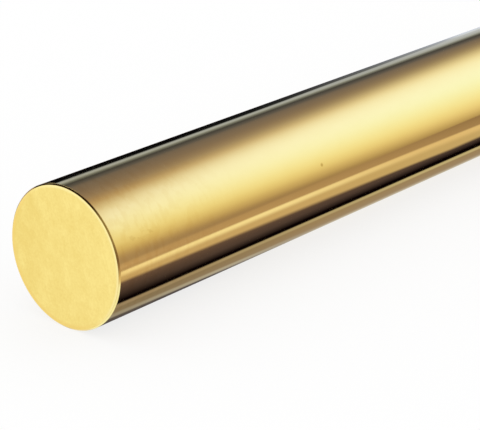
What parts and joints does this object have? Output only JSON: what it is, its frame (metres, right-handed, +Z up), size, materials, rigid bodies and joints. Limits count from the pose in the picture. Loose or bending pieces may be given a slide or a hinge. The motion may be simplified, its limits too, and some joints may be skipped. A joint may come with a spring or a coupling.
{
  "type": "brass round bar",
  "caption": "Solid brass round bar stock lying on its side, with a polished drawn side and square-cut satin ends whose edges are lightly chamfered.",
  "frame": {"origin": "on the ground under the middle of the bar, where its underside touches the ground", "axes": "+X along the bar, +Z up, +Y across the bar; the bar's centre line runs parallel to X at half its diameter above the ground"},
  "size_m": [1, 0.0498, 0.05],
  "materials": {
    "brass": "polished"
  },
  "bodies": {
    "root": {"round_bar": "brass"}
  },
  "joints": []
}
